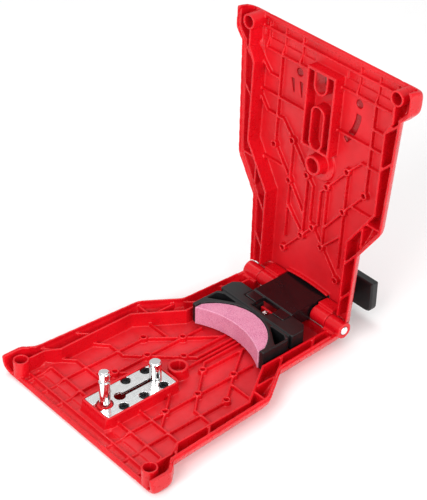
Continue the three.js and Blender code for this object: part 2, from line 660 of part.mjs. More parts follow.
// Sliding pin: its neck passes through the plate's slot.
function slidingPin() {
  const { radius, height } = SLIDING_PIN;
  const top = PLATE_TOP + height;
  const foot = PLATE_TOP + CLEARANCE;
  const neck = SLOT_HALF - CLEARANCE;
  return turned([
    [0, PLATE_TOP - PLATE_THICKNESS - 4], [neck, PLATE_TOP - PLATE_THICKNESS - 4], [neck, foot],
    [radius, foot], [radius, top - 0.8], [radius - 0.8, top], [0, top],
  ], -SLIDING_PIN.s, 0, 28);
}

// Washer and nut that clamp the sliding pin under the plate.
function ringUnderPlate(radius, z0, z1, segments) {
  const bore = SLOT_HALF;
  return post(-SLIDING_PIN.s, 0, radius, z0, z1, segments)
    .subtract(post(-SLIDING_PIN.s, 0, bore, z0 - 1, z1 + 1, 16));
}

// ---- Stone, carriage, slide and paddle -------------------------------------

// Points of an arc that bulges toward +X, for y from y0 to y1.
function arcPoints(radius, apex, y0, y1, steps) {
  return Array.from({ length: steps + 1 }, (unused, i) => {
    const y = y0 + (y1 - y0) * i / steps;
    return [-apex - radius + Math.sqrt(radius * radius - y * y), y];
  });
}

// Crescent outline, grown by `grow` at the back and the ends.
function stoneOutline(grow) {
  const half = STONE.half + grow;
  return [
    ...arcPoints(STONE.innerRadius, STONE.innerApex, half, -half, 16),
    ...arcPoints(STONE.outerRadius + grow, STONE.outerApex - grow, -half, half, 24),
  ];
}

const stone = () => prism([...stoneOutline(0)].reverse(), STONE_BOTTOM, STONE_TOP);

function carriage() {
  const { front, back, half, top, bottom } = HOLDER;
  const holder = prism(roundCorners([
    [-front, -half], [-back - 3.4, -half], [-back + 0.4, -half + 3.8], [-back + 0.4, half - 3.8],
    [-back - 3.4, half], [-front, half],
  ], 1), bottom, top);
  const wings = prism(roundCorners([
    [-WING.front, -half], [-WING.back - 4.5, -half], [-WING.back, -half + 4.5], [-WING.back, half - 4.5],
    [-WING.back - 4.5, half], [-WING.front, half],
  ], 1), bottom + 4, WING.top);
  const stonePocket = prism([...stoneOutline(CLEARANCE)].reverse(), bottom - 1, top + 1);
  const frontBay = prism([
    [-front - 1, -half + 4.3], [-front + 3, -half + 4.3], ...arcPoints(58, 53.4, -28.6, 28.6, 12),
    [-front + 3, half - 4.3], [-front - 1, half - 4.3],
  ], bottom - 1, top + 1);
  const cornerPocket = (side) => {
    const outer = side * (half - 1.8);
    const points = [
      [-back - 2, side * 16.5], [-back - 2, side * (half - 5.5)], [-back - 4.4, outer], [-51, outer],
    ];
    return prism(side > 0 ? points : points.reverse(), bottom + 2, top + 1);
  };
  // Open to the back, where the base's spring tab passes under the slide plate.
  const window = box(-34.4, -21, -8, 8, bottom - 1, WING.top + 1);
  const springBay = box(-SPRING_END - CLEARANCE, -34, -2.6, 2.6, bottom - 1, 4.2);
  // The slide plate sits in a step in the back of the wings.
  const slideSeat = box(-30.5, -21, -SLIDE.half - CLEARANCE, SLIDE.half + CLEARANCE,
    SLIDE.top - SLIDE.thickness - CLEARANCE, 12);
  return cut(holder.add(wings), [
    stonePocket, frontBay, ...bothSides(cornerPocket), window, springBay, slideSeat,
    ...bothSides((side) => post(-27, side * 13.5, 1.8, -12, 12, 12)),
  ]);
}

// Plate with a skirt along each edge. Its front tongue lies in the carriage's
// step, level with the wings.
function slidePlate() {
  const { half, top, thickness, end, skirt, skirtBottom } = SLIDE;
  const bottom = top - thickness;
  const behind = -WING.back + CLEARANCE;
  const outline = [[-30.2, -half], [end, -half], [end, half], [-30.2, half]];
  const plate = prism(roundCorners(outline, 1.2), bottom, top);
  const skirts = bothSides((side) => {
    const [y0, y1] = side > 0 ? [half - skirt, half] : [-half, -half + skirt];
    return box(behind, end - 1, y0, y1, skirtBottom, bottom + 0.5);
  });
  return cut(join([plate, ...skirts]), [
    box(-31, behind, -half - 1, half + 1, WING.top, top + 1),
    box(-31, behind - 0.5, -8.2, 8.2, bottom - 1, top + 1),
    ...bothSides((side) => post(-27, side * 13.5, 1.5, bottom - 1, top - 1.6, 12)),
    ...bothSides((side) => screwHole(end, side * 12, top - thickness / 2, 1.5, 10)),
  ]);
}

// Round hole along X that ends at x, of the given radius and length.
function screwHole(x, y, z, radius, length) {
  const geometry = new THREE.CylinderGeometry(radius, radius, length, 12);
  geometry.rotateZ(Math.PI / 2);
  geometry.translate(x - length / 2 + 1, y, z);
  return solid(geometry);
}

function paddle() {
  const { x, thickness, half, bottom, top } = PADDLE;
  const bevel = 1.2;
  const radius = 6;
  const shape = new THREE.Shape();
  shape.moveTo(-half, top);
  shape.lineTo(-half, bottom + radius);
  shape.quadraticCurveTo(-half, bottom, -half + radius, bottom);
  shape.lineTo(half - radius, bottom);
  shape.quadraticCurveTo(half, bottom, half, bottom + radius);
  shape.lineTo(half, top);
  const geometry = new THREE.ExtrudeGeometry(shape, {
    depth: thickness - 2 * bevel, curveSegments: 6,
    bevelThickness: bevel, bevelSize: bevel, bevelOffset: -bevel, bevelSegments: 1,
  });
  geometry.applyMatrix4(new THREE.Matrix4().makeBasis(
    new THREE.Vector3(0, 1, 0), new THREE.Vector3(0, 0, 1), new THREE.Vector3(1, 0, 0)));
  geometry.translate(x + bevel, 0, 0);
  const z = SLIDE.top - SLIDE.thickness / 2;
  return cut(solid(geometry), bothSides((side) => [
    screwHole(x + thickness, side * 12, z, 1.9, thickness + 4),
    screwHole(x + thickness, side * 12, z, 3.5, 3),
  ]).flat());
}

// Extension spring: a closed coil bundle with a hook at each end, as one bar.
function returnSpring() {
  const from = SPRING_TAB.s + 0.9 + CLEARANCE;
  const length = SPRING_END - from;
  const geometry = new THREE.CylinderGeometry(2.1, 2.1, length, 12);
  geometry.rotateZ(Math.PI / 2);
  geometry.translate(-from - length / 2, 0, 0.6);
  return solid(geometry);
}

// ---- Assembly --------------------------------------------------------------

const group = new THREE.Group();

const half = new THREE.Group();
half.position.set(HINGE_X, 0, SHELL_DEPTH);
group.add(half);

// The lid's own half frame, turned over and swung open about the hinge.
const swing = new THREE.Group();
swing.rotation.y = THREE.MathUtils.degToRad(LID_OPEN_DEGREES);
const turnedOver = new THREE.Group();
turnedOver.rotation.x = Math.PI;
swing.add(turnedOver);
half.add(swing);

function addPiece(parent, name, manifold, material) {
  const mesh = new THREE.Mesh(toGeometry(manifold), material);
  mesh.name = name;
  parent.add(mesh);
  return mesh;
}

addPiece(half, 'base_shell', baseShell(), red());
const lid = lidShell();
addPiece(turnedOver, 'lid_shell', cut(lid, bothSides((side) => lugZone(side, CLEARANCE))), red());
bothSides((side) => addPiece(turnedOver, side > 0 ? 'lid_lug_near' : 'lid_lug_far',
  lid.intersect(lugZone(side, 0)), red()));

bothSides((side) => {
  const y0 = side > 0 ? KNUCKLE_INNER + 0.6 : -END_HALF - 0.4;
  const length = END_HALF - KNUCKLE_INNER - 0.2;
  return addPiece(half, side > 0 ? 'hinge_pin_far' : 'hinge_pin_near',
    barAlongY(0, 0, PIN_RADIUS, y0, y0 + length), nickel());
});

addPiece(half, 'pin_plate', pinPlate(), nickel());
SCREW_S.forEach((s, i) => {
  [1, -1].forEach((side) => {
    const name = `plate_screw_${side > 0 ? 'far' : 'near'}_${i + 1}`;
    addPiece(half, name, plateScrew(), blackSteel()).position.set(-s, side * SCREW_Y, PLATE_TOP + 0.1);
  });
});
addPiece(half, 'front_bar_pin', frontPin(), nickel());
addPiece(half, 'sliding_bar_pin', slidingPin(), nickel());
const underPlate = PLATE_TOP - PLATE_THICKNESS - CLEARANCE;
addPiece(half, 'sliding_pin_washer', ringUnderPlate(3.4, underPlate - 0.8, underPlate, 20), nickel());
addPiece(half, 'sliding_pin_nut', ringUnderPlate(3.2, underPlate - 3.4, underPlate - 1.1, 6), nickel());

addPiece(half, 'grinding_stone', stone(), pink());
addPiece(half, 'stone_carriage', carriage(), black());
addPiece(half, 'slide_plate', slidePlate(), black());
addPiece(half, 'push_paddle', paddle(), black());
addPiece(half, 'return_spring', returnSpring(), nickel());
[1, -1].forEach((side) => {
  const where = side > 0 ? 'far' : 'near';
  const fromBelow = addPiece(half, `carriage_screw_${where}`, panScrew(2.8, 1.6, 1.15, 12), blackSteel());
  fromBelow.rotation.x = Math.PI;
  fromBelow.position.set(-27, side * 13.5, -4.9 - CLEARANCE - 1.6);
  const intoPaddle = addPiece(half, `paddle_screw_${where}`, panScrew(3.1, 1.8, 1.2, 13), blackSteel());
  intoPaddle.rotation.y = Math.PI / 2;
  intoPaddle.position.set(PADDLE.x + PADDLE.thickness - 0.15, side * 12, SLIDE.top - SLIDE.thickness / 2);
});

export default group;
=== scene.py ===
"""Looks of the saw chain sharpener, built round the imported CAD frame. Units are metres."""

import json
import math

import bmesh
import bpy
from mathutils import Matrix, Vector


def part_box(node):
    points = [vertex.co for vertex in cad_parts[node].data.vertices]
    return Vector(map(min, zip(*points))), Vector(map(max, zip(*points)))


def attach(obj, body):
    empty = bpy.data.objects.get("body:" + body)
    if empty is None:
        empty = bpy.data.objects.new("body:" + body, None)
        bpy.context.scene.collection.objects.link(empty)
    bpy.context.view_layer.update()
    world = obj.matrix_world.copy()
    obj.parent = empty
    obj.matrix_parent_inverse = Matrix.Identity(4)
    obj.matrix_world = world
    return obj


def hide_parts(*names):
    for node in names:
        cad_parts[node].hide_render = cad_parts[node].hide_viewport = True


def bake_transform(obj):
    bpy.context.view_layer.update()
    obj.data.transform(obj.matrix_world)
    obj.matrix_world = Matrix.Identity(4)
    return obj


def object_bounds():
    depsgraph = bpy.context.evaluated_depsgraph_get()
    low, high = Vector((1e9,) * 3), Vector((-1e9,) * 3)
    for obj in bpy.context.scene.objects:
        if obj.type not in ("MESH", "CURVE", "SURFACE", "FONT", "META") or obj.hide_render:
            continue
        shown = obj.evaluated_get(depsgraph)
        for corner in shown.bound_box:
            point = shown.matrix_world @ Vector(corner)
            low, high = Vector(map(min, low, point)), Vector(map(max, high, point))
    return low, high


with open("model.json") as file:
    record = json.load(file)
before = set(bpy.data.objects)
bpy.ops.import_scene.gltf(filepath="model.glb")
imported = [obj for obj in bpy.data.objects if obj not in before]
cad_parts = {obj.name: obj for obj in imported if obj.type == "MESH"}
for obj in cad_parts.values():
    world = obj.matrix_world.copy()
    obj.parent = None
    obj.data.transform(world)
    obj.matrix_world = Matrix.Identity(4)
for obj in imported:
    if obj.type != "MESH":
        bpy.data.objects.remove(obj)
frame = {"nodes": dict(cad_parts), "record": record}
cad_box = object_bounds()

MM = 0.001
HINGE = next(j for j in frame["record"]["behaviour"]["joints"] if j["name"] == "lid_hinge")
HINGE_X, _, HINGE_Z = HINGE["pos_m"]
LID_ANGLE = math.radians(HINGE["range_deg"][1])
LID_RUN = Vector((-math.cos(LID_ANGLE), 0, math.sin(LID_ANGLE)))    # from the hinge to the lid's head
LID_DEPTH = Vector((math.sin(LID_ANGLE), 0, math.cos(LID_ANGLE)))   # from the lid's rim to its outer face
FLOOR_DEPTH = 12 * MM          # rim plane to the inner floor of a shell
BLIND_DEPTH = 2 * MM           # inner floor of the lid to the ends of its blind holes
LUG_SEAM = 12 * MM             # the lid's hinge lugs end this far from the hinge axis
LUG_INNER = 20.5 * MM          # |y| of the lugs' inner faces
SAME = 0.01 * MM               # points closer than this lie on one plane
SIDES = ((1, "far"), (-1, "near"))   # sign of y, and how the names call that side

PLATE_TOP = 10.5 * MM
PLATE_THICKNESS = 2 * MM
NOTCHED_LAYER = 1.3 * MM       # upper part of the plate, with notches for the screw heads
LAYER_OVERLAP = 0.02 * MM      # of the plate's two layers
PLATE_X = (-76.6 * MM, -21.6 * MM)
PLATE_HALF = 12.2 * MM
PLATE_CORNER = 0.7 * MM
SCREW_X = (-62 * MM, -45.8 * MM, -29.9 * MM)
SCREW_Y = 9.4 * MM
SCREW_NOTCH = 3.5 * MM         # radius of the notches round the screw heads
SCREW_HOLE = 1.9 * MM          # radius of the holes for the screw shanks
FRONT_PIN_X = -69.8 * MM
PIN_NOTCH = 5.5 * MM           # radius of the notch round the fixed pin
PIN_NOTCH_MOUTH = 3.9 * MM     # half width of that notch at the plate's front edge
SLIDING_PIN_X = -29 * MM
SLOT_HALF = 1.5 * MM
KEYHOLE_X = -58 * MM
KEYHOLE_RADIUS = 3.8 * MM


# ---- Materials --------------------------------------------------------------

def material(name):
    """New node material, its node tree and its Principled shader."""
    mat = bpy.data.materials.new(name)
    mat.use_nodes = True
    tree = mat.node_tree
    return mat, tree, tree.nodes["Principled BSDF"]


def add(tree, kind, **sockets):
    """New node; keywords with a socket's name set that input."""
    node = tree.nodes.new(kind)
    for key, value in sockets.items():
        node.inputs[key].default_value = value
    return node


def noise(tree, place, scale, detail=2.0, rough=0.5):
    """Noise from about 0.3 to 0.7 at the coordinates in the socket place."""
    node = add(tree, "ShaderNodeTexNoise", Scale=scale, Detail=detail, Roughness=rough)
    tree.links.new(place, node.inputs["Vector"])
    return node.outputs["Fac"]


def remap(tree, value, low, high, out_low, out_high):
    """value from low..high to out_low..out_high, clamped."""
    node = tree.nodes.new("ShaderNodeMapRange")
    tree.links.new(value, node.inputs["Value"])
    for key, number in (("From Min", low), ("From Max", high), ("To Min", out_low), ("To Max", out_high)):
        node.inputs[key].default_value = number
    return node.outputs["Result"]


def blend_colour(tree, factor, first, second):
    """first where factor is 0, second where it is 1; each is a colour or a socket."""
    node = tree.nodes.new("ShaderNodeMix")
    node.data_type = "RGBA"
    tree.links.new(factor, node.inputs["Factor"])
    for socket, value in ((node.inputs[6], first), (node.inputs[7], second)):
        if isinstance(value, tuple):
            socket.default_value = (*value, 1)
        else:
            tree.links.new(value, socket)
    return node.outputs[2]


def combine(tree, operation, first, second):
    """Result of a Math node; each operand is a number or a socket."""
    node = tree.nodes.new("ShaderNodeMath")
    node.operation = operation
    for socket, value in zip(node.inputs, (first, second)):
        if isinstance(value, (int, float)):
            socket.default_value = value
        else:
            tree.links.new(value, socket)
    return node.outputs[0]


def bumps(tree, shader, layers):
    """Stacks (height socket, strength, distance) bumps into the shader's normal."""
    normal = None
    for height, strength, distance in layers:
        node = add(tree, "ShaderNodeBump", Strength=strength, Distance=distance)
        tree.links.new(height, node.inputs["Height"])
        if normal is not None:
            tree.links.new(normal, node.inputs["Normal"])
        normal = node.outputs["Normal"]
    tree.links.new(normal, shader.inputs["Normal"])


def inner_corner(tree, low, high):
    """Value that is 1 in inner corners, where the colour gets painted shade."""
    pointiness = tree.nodes.new("ShaderNodeNewGeometry").outputs["Pointiness"]
    return remap(tree, pointiness, low, high, 1, 0)


def place_and_edge(tree, low=0.535, high=0.62):
    """Object coordinates, and a value that is 1 on sharp outer edges, where the materials lighten the
    colour: wear on the stone, a painted highlight on the red plastic, and both on the black plastic and
    the metals.
    """
    place = tree.nodes.new("ShaderNodeTexCoord").outputs["Object"]
    pointiness = tree.nodes.new("ShaderNodeNewGeometry").outputs["Pointiness"]
    return place, remap(tree, pointiness, low, high, 0, 1)


def shell_depth(tree, place, direction, offset):
    """Depth below a shell's rim plane, which is direction . place + offset."""
    dot = tree.nodes.new("ShaderNodeVectorMath")
    dot.operation = "DOT_PRODUCT"
    tree.links.new(place, dot.inputs[0])
    dot.inputs[1].default_value = direction
    return combine(tree, "ADD", dot.outputs["Value"], offset)


def painted_hollow_shade(tree, place, depth, hollow):
    """Painted shade: a value that grows in the hollow parts between two depths inside an ellipsoid,
    where the colour is darkened to stand for shade; hollow holds the ellipsoid's centre, its radii and the
    two depths."""
    centre, radii, (shallow, deep) = hollow
    middle = tree.nodes.new("ShaderNodeMapping")
    middle.vector_type = "TEXTURE"
    middle.inputs["Location"].default_value = centre
    middle.inputs["Scale"].default_value = radii
    tree.links.new(place, middle.inputs["Vector"])
    away = tree.nodes.new("ShaderNodeVectorMath")
    away.operation = "LENGTH"
    tree.links.new(middle.outputs["Vector"], away.inputs[0])
    hollow_shade = remap(tree, away.outputs["Value"], 0.95, 1.05, 0.85, 0)
    hollow_shade = combine(tree, "MULTIPLY", hollow_shade, remap(tree, depth, shallow, shallow + 0.5 * MM, 0, 1))
    return combine(tree, "MULTIPLY", hollow_shade, remap(tree, depth, deep - 0.1 * MM, deep, 1, 0))


def red_plastic(name, direction, offset, frost, hollow):
    """Moulded red plastic. The inner floor has a frosted tool finish, from 0 to 1 as
    frost says; ribs and walls are glossier. Painted shade darkens inner corners and the
    hollow, as in painted_hollow_shade, and a painted highlight lightens outer edges.
    direction and offset give the depth in the shell."""
    mat, tree, shader = material(name)
    place, edge = place_and_edge(tree)
    depth = shell_depth(tree, place, direction, offset)
    above = remap(tree, depth, FLOOR_DEPTH - 0.5 * MM, FLOOR_DEPTH - 0.15 * MM, 0, 1)
    below = remap(tree, depth, FLOOR_DEPTH + 0.3 * MM, FLOOR_DEPTH + 0.6 * MM, 1, 0)
    frosted = combine(tree, "MULTIPLY", above, below)
    flow = noise(tree, place, 45, 3)
    grain = noise(tree, place, 2600, 2)
    body = blend_colour(tree, remap(tree, flow, 0.35, 0.65, 0, 1),
                        (0.56, 0.0024, 0.0075), (0.66, 0.004, 0.011))
    # painted highlight: convex edges mixed toward a light red, standing in for the glints along rib tops
    # and rims
    painted_edge_highlight = blend_colour(tree, combine(tree, "MULTIPLY", edge, 0.6), body, (0.90, 0.030, 0.042))
    uneven = remap(tree, noise(tree, place, 160, 3), 0.3, 0.7, 0.3 * frost, frost)
    chalk = combine(tree, "MULTIPLY", frosted, uneven)
    colour = blend_colour(tree, chalk, painted_edge_highlight, (0.70, 0.045, 0.060))
    # painted shade: the hollows under the slot and round the lid's blind holes darkened to a deep red
    colour = blend_colour(tree, painted_hollow_shade(tree, place, depth, hollow), colour, (0.26, 0.001, 0.003))
    # painted shade: inner corners near the floor darkened to a deep red
    corner_shade = combine(tree, "MULTIPLY", inner_corner(tree, 0.38, 0.465),
                       remap(tree, depth, FLOOR_DEPTH + 1.2 * MM, FLOOR_DEPTH + 1.8 * MM, 0.65, 0))
    colour = blend_colour(tree, corner_shade, colour, (0.30, 0.001, 0.004))
    tree.links.new(colour, shader.inputs["Base Color"])
    smooth = remap(tree, noise(tree, place, 300, 3), 0.3, 0.7, 0.24, 0.34)
    rough = combine(tree, "ADD", smooth, combine(tree, "MULTIPLY", frosted, 0.16))
    tree.links.new(rough, shader.inputs["Roughness"])
    shader.inputs["Specular IOR Level"].default_value = 0.34
    shader.inputs["Subsurface Weight"].default_value = 0.06
    shader.inputs["Subsurface Radius"].default_value = (1.0, 0.12, 0.06)
    shader.inputs["Subsurface Scale"].default_value = 1.2 * MM
    bumps(tree, shader, [(flow, 0.2, 0.2 * MM), (grain, 0.16, 0.02 * MM)])
    return mat


def black_plastic(name, low, high, shine, scuff_and_highlight_colour, texture=1.0):
    """Moulded black plastic with a spark-eroded grain and lighter edges, partly scuffed wear and partly a
    painted highlight.
    """
    mat, tree, shader = material(name)
    place, edge = place_and_edge(tree)
    cloud = noise(tree, place, 120, 4)
    body = blend_colour(tree, cloud, low, high)
    wear = remap(tree, noise(tree, place, 420, 3), 0.35, 0.65, 0.3, 1)
    # sharp edges lightened toward a grey: partly wear, partly a painted highlight
    scuffed_and_highlit_edges = combine(tree, "MULTIPLY", edge, wear)
    tree.links.new(blend_colour(tree, scuffed_and_highlit_edges, body, scuff_and_highlight_colour), shader.inputs["Base Color"])
    tree.links.new(remap(tree, cloud, 0.3, 0.7, shine - 0.05, shine + 0.07), shader.inputs["Roughness"])
    grain = noise(tree, place, 1900, 3)
    shader.inputs["Specular IOR Level"].default_value = 0.4
    bumps(tree, shader, [(cloud, 0.15 * texture, 0.15 * MM), (grain, 0.35 * texture, 0.05 * MM)])
    return mat


def abrasive():
    """Sintered pink abrasive: grains, pores and paler edges."""
    mat, tree, shader = material("pink_abrasive")
    place, edge = place_and_edge(tree, 0.505, 0.56)
    fine = noise(tree, place, 1500, 5, 0.75)
    patch = noise(tree, place, 130, 3)
    cells = tree.nodes.new("ShaderNodeTexVoronoi")
    cells.inputs["Scale"].default_value = 1500
    tree.links.new(place, cells.inputs["Vector"])
    body = blend_colour(tree, remap(tree, fine, 0.4, 0.6, 0, 1), (0.49, 0.125, 0.235), (0.73, 0.31, 0.455))
    body = blend_colour(tree, remap(tree, patch, 0.35, 0.65, 0, 0.35), body, (0.76, 0.34, 0.47))
    pores = remap(tree, cells.outputs["Distance"], 0.12, 0.3, 0.45, 0)
    body = blend_colour(tree, pores, body, (0.42, 0.09, 0.19))
    pale = combine(tree, "MULTIPLY", edge, 0.5)
    tree.links.new(blend_colour(tree, pale, body, (0.86, 0.50, 0.62)), shader.inputs["Base Color"])
    tree.links.new(remap(tree, fine, 0.3, 0.7, 0.85, 1.0), shader.inputs["Roughness"])
    bumps(tree, shader, [
        (patch, 0.2, 0.3 * MM), (fine, 0.7, 0.12 * MM), (cells.outputs["Distance"], 0.3, 0.1 * MM)])
    return mat


def metal(name, low, high, shine, streaks=(1, 1, 1), edges=(0.95, 0.95, 0.95)):
    """Plated metal; streaks scales the fine finishing marks along each axis. Outer edges are mixed toward
    the edges colour, partly wear and partly a painted highlight.
    """
    mat, tree, shader = material(name)
    place, edge = place_and_edge(tree)
    mapping = tree.nodes.new("ShaderNodeMapping")
    mapping.inputs["Scale"].default_value = streaks
    tree.links.new(place, mapping.inputs["Vector"])
    marks = noise(tree, mapping.outputs["Vector"], 900, 4, 0.6)
    cloud = noise(tree, place, 90, 2)
    body = blend_colour(tree, cloud, low, high)
    # edges lightened toward the edges colour: partly wear, partly a painted highlight
    wear_and_highlight = combine(tree, "MULTIPLY", edge, 0.4)
    tree.links.new(blend_colour(tree, wear_and_highlight, body, edges), shader.inputs["Base Color"])
    shader.inputs["Metallic"].default_value = 1.0
    tree.links.new(remap(tree, marks, 0.3, 0.7, shine * 0.75, shine * 1.5), shader.inputs["Roughness"])
    bumps(tree, shader, [(marks, 0.12, 0.02 * MM)])
    return mat


hinge_axis = Vector((HINGE_X, 0, HINGE_Z))
# Middles of the hollows that get painted shade: the base's space under the slot, the lid's blind holes.
slot_middle = Vector(((KEYHOLE_X + SLIDING_PIN_X) / 2, 0, HINGE_Z - 9 * MM))
marks_middle = hinge_axis + LID_RUN * 142 * MM + LID_DEPTH * FLOOR_DEPTH
base_red = red_plastic("red_plastic_base", (0, 0, -1), HINGE_Z, 0.35,
                       (slot_middle, (26 * MM, 7 * MM, 5 * MM), (6.2 * MM, 13.8 * MM)))
lid_red = red_plastic("red_plastic_lid", LID_DEPTH, -LID_DEPTH.dot(hinge_axis), 0.12,
                      (marks_middle, (26 * MM, 44 * MM, 26 * MM),
                       (FLOOR_DEPTH + 0.3 * MM, FLOOR_DEPTH + BLIND_DEPTH + 0.3 * MM)))
carriage_black = black_plastic("black_plastic", (0.0045, 0.0045, 0.005), (0.009, 0.009, 0.010),
                               0.40, (0.060, 0.060, 0.064))
slide_black = black_plastic("black_slide", (0.006, 0.004, 0.005), (0.009, 0.006, 0.007),
                            0.22, (0.05, 0.042, 0.042), texture=0.3)
stone_pink = abrasive()
plate_nickel = metal("nickel_plate", (0.86, 0.87, 0.87), (0.94, 0.94, 0.94), 0.17, streaks=(0.35, 6, 1))
pin_nickel = metal("nickel_pin", (0.87, 0.87, 0.88), (0.95, 0.95, 0.95), 0.08, streaks=(1, 1, 5))
spring_steel = metal("spring_steel", (0.84, 0.84, 0.84), (0.93, 0.93, 0.93), 0.16)
# edges: a painted highlight that lightens the screw heads' rims and cross recesses
screw_black = metal("black_oxide", (0.008, 0.008, 0.009), (0.022, 0.022, 0.024), 0.28,
                    edges=(0.30, 0.30, 0.31))


# ---- Mesh tools -------------------------------------------------------------

def piece(name, mesh, mat):
    """Shown object at the origin with one material and smooth shading."""
    obj = bpy.data.objects.new(name, mesh)
    bpy.context.scene.collection.objects.link(obj)
    obj.data.materials.clear()
    obj.data.materials.append(mat)
    mesh.shade_smooth()
    return obj


def settle(obj):
    """Applies obj's modifiers to its mesh."""
    graph = bpy.context.evaluated_depsgraph_get()
    mesh = bpy.data.meshes.new_from_object(obj.evaluated_get(graph))
    obj.modifiers.clear()
    obj.data = mesh
    mesh.shade_smooth()
    return obj


def belong(obj, body, slot, *nodes):
    """obj rides on body and stands for the CAD nodes, which it hides. slot is not used."""
    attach(obj, body)
    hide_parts(*nodes)
    return obj


def even_normals(obj):
    """Keeps large flat faces flat under smooth shading."""
    obj.modifiers.new("normals", "WEIGHTED_NORMAL").weight = 80
    return settle(obj)


def moulded(name, nodes, mat, voxel, passes, keep, adjust=None, extend=None):
    """One moulding from CAD nodes, with each edge rounded by about a voxel in so many
    smoothing passes; keep is the share of the faces that stays. adjust(node, verts)
    moves a node's vertices first, extend(bm) adds closed bodies."""
    bm = bmesh.new()
    for node in nodes:
        first = len(bm.verts)
        bm.from_mesh(frame["nodes"][node].data)
        bm.verts.ensure_lookup_table()
        if adjust:
            adjust(node, bm.verts[first:])
    bmesh.ops.remove_doubles(bm, verts=bm.verts, dist=0.002 * MM)
    if extend:
        extend(bm)
    mesh = bpy.data.meshes.new(name)
    bm.to_mesh(mesh)
    bm.free()
    obj = piece(name, mesh, mat)
    remesh = obj.modifiers.new("voxels", "REMESH")
    remesh.mode = "VOXEL"
    remesh.voxel_size = voxel
    remesh.use_smooth_shade = True
    smooth = obj.modifiers.new("soft_edges", "SMOOTH")
    smooth.factor = 0.5
    smooth.iterations = passes
    if keep < 1:
        obj.modifiers.new("fewer", "DECIMATE").ratio = keep
    settle(obj)
    return even_normals(obj)


def bevelled(obj, width, angle):
    """Rounds the edges of a clean mesh that turn by more than angle degrees."""
    bevel = obj.modifiers.new("bevel", "BEVEL")
    bevel.width = width
    bevel.segments = 3
    bevel.limit_method = "ANGLE"
    bevel.angle_limit = math.radians(angle)
    return even_normals(settle(obj))


def turned_mesh(name, profile, steps=64):
    """Solid of revolution about Z through (radius, z) points, closed at both ends."""
    bm = bmesh.new()
    rings = []
    for radius, z in profile:
        if radius == 0:
            rings.append([bm.verts.new((0, 0, z))])
        else:
            rings.append([bm.verts.new((radius * math.cos(a), radius * math.sin(a), z))
                          for a in (2 * math.pi * i / steps for i in range(steps))])
    for low, high in zip(rings, rings[1:]):
        for i in range(steps):
            j = (i + 1) % steps
            if len(low) == 1:
                bm.faces.new((low[0], high[j], high[i]))
            elif len(high) == 1:
                bm.faces.new((low[i], low[j], high[0]))
            else:
                bm.faces.new((low[i], low[j], high[j], high[i]))
    bmesh.ops.recalc_face_normals(bm, faces=bm.faces)
    mesh = bpy.data.meshes.new(name)
    bm.to_mesh(mesh)
    bm.free()
    return mesh


def millimetres(points):
    """Pairs in millimetres as pairs in metres."""
    return [(a * MM, b * MM) for a, b in points]


def moved(obj, x=0.0, y=0.0, z=0.0, turn=None):
    """Places obj's mesh, so that its object stays at the origin."""
    obj.data.transform(Matrix.Translation((x, y, z)) @ (turn or Matrix.Identity(4)))
    return obj


def flat_plate(name, loops, z0, z1, bevel, mat):
    """Plate between z0 and z1 inside the first outline, with the others as holes."""
    curve = bpy.data.curves.new(name, "CURVE")
    curve.dimensions = "2D"
    curve.fill_mode = "BOTH"
    curve.extrude = (z1 - z0) / 2 - bevel
    curve.bevel_depth = bevel
    curve.bevel_resolution = 2
    curve.offset = -bevel
    for loop in loops:
        spline = curve.splines.new("POLY")
        spline.points.add(len(loop) - 1)
        for point, (x, y) in zip(spline.points, loop):
            point.co = (x, y, 0, 1)
        spline.use_cyclic_u = True
    holder = bpy.data.objects.new(name + "_curve", curve)
    bpy.context.scene.collection.objects.link(holder)
    bpy.context.view_layer.update()
    graph = bpy.context.evaluated_depsgraph_get()
    mesh = bpy.data.meshes.new_from_object(holder.evaluated_get(graph))
    bpy.data.objects.remove(holder)
    obj = piece(name, mesh, mat)
    return even_normals(moved(obj, z=(z0 + z1) / 2))


def arc(cx, cy, radius, start, end, steps):
    """Points of an arc, angles in degrees, either way round."""
    angles = [math.radians(start + (end - start) * i / steps) for i in range(steps + 1)]
    return [(cx + radius * math.cos(a), cy + radius * math.sin(a)) for a in angles]


def joined(first, *others):
    """Adds the meshes of others to first."""
    bm = bmesh.new()
    for obj in (first, *others):
        bm.from_mesh(obj.data)
    bm.to_mesh(first.data)
    bm.free()
    for obj in others:
        bpy.data.objects.remove(obj)
    return first


def tube_mesh(name, points, radius, sides=10):
    """Round wire along points, with closed ends."""
    bm = bmesh.new()
    count = len(points)
    rings = []
    side = Vector((0, 0, 1))
    for i, point in enumerate(points):
        ahead = (points[min(i + 1, count - 1)] - points[max(i - 1, 0)]).normalized()
        side = (side - ahead * side.dot(ahead)).normalized()
        other = ahead.cross(side)
        rings.append([bm.verts.new(point + radius * (side * math.cos(a) + other * math.sin(a)))
                      for a in (2 * math.pi * k / sides for k in range(sides))])
    for low, high in zip(rings, rings[1:]):
        for k in range(sides):
            n = (k + 1) % sides
            bm.faces.new((low[k], low[n], high[n], high[k]))
    bm.faces.new(rings[0][::-1])
    bm.faces.new(rings[-1])
    mesh = bpy.data.meshes.new(name)
    bm.to_mesh(mesh)
    bm.free()
    return mesh


# ---- Shells -----------------------------------------------------------------

SHELL_VOXEL = 0.42 * MM
SHELL_KEEP = 0.22              # share of a shell's faces that stays
FUSE = 0.6 * MM                # more than a voxel: closes a seam or thickens a skin

base = moulded("base_moulding", ["base_shell"], base_red, SHELL_VOXEL, 2, SHELL_KEEP)
belong(base, "base", "red_plastic", "base_shell")


def prepare_lid(node, verts):
    """Pushes each lug's seam faces into the lid, so that they fuse, and keeps the
    skin behind the blind holes thick enough for the voxels."""
    for vert in verts:
        place = vert.co - hinge_axis
        if node == "lid_shell":
            if abs(place.dot(LID_DEPTH) - FLOOR_DEPTH - BLIND_DEPTH) < SAME:
                vert.co -= LID_DEPTH * FUSE
            continue
        if abs(place.dot(LID_RUN) - LUG_SEAM) < SAME:
            vert.co += LID_RUN * FUSE
        if abs(abs(vert.co.y) - LUG_INNER) < SAME:
            vert.co.y = math.copysign(LUG_INNER - 0.5 * MM, vert.co.y)


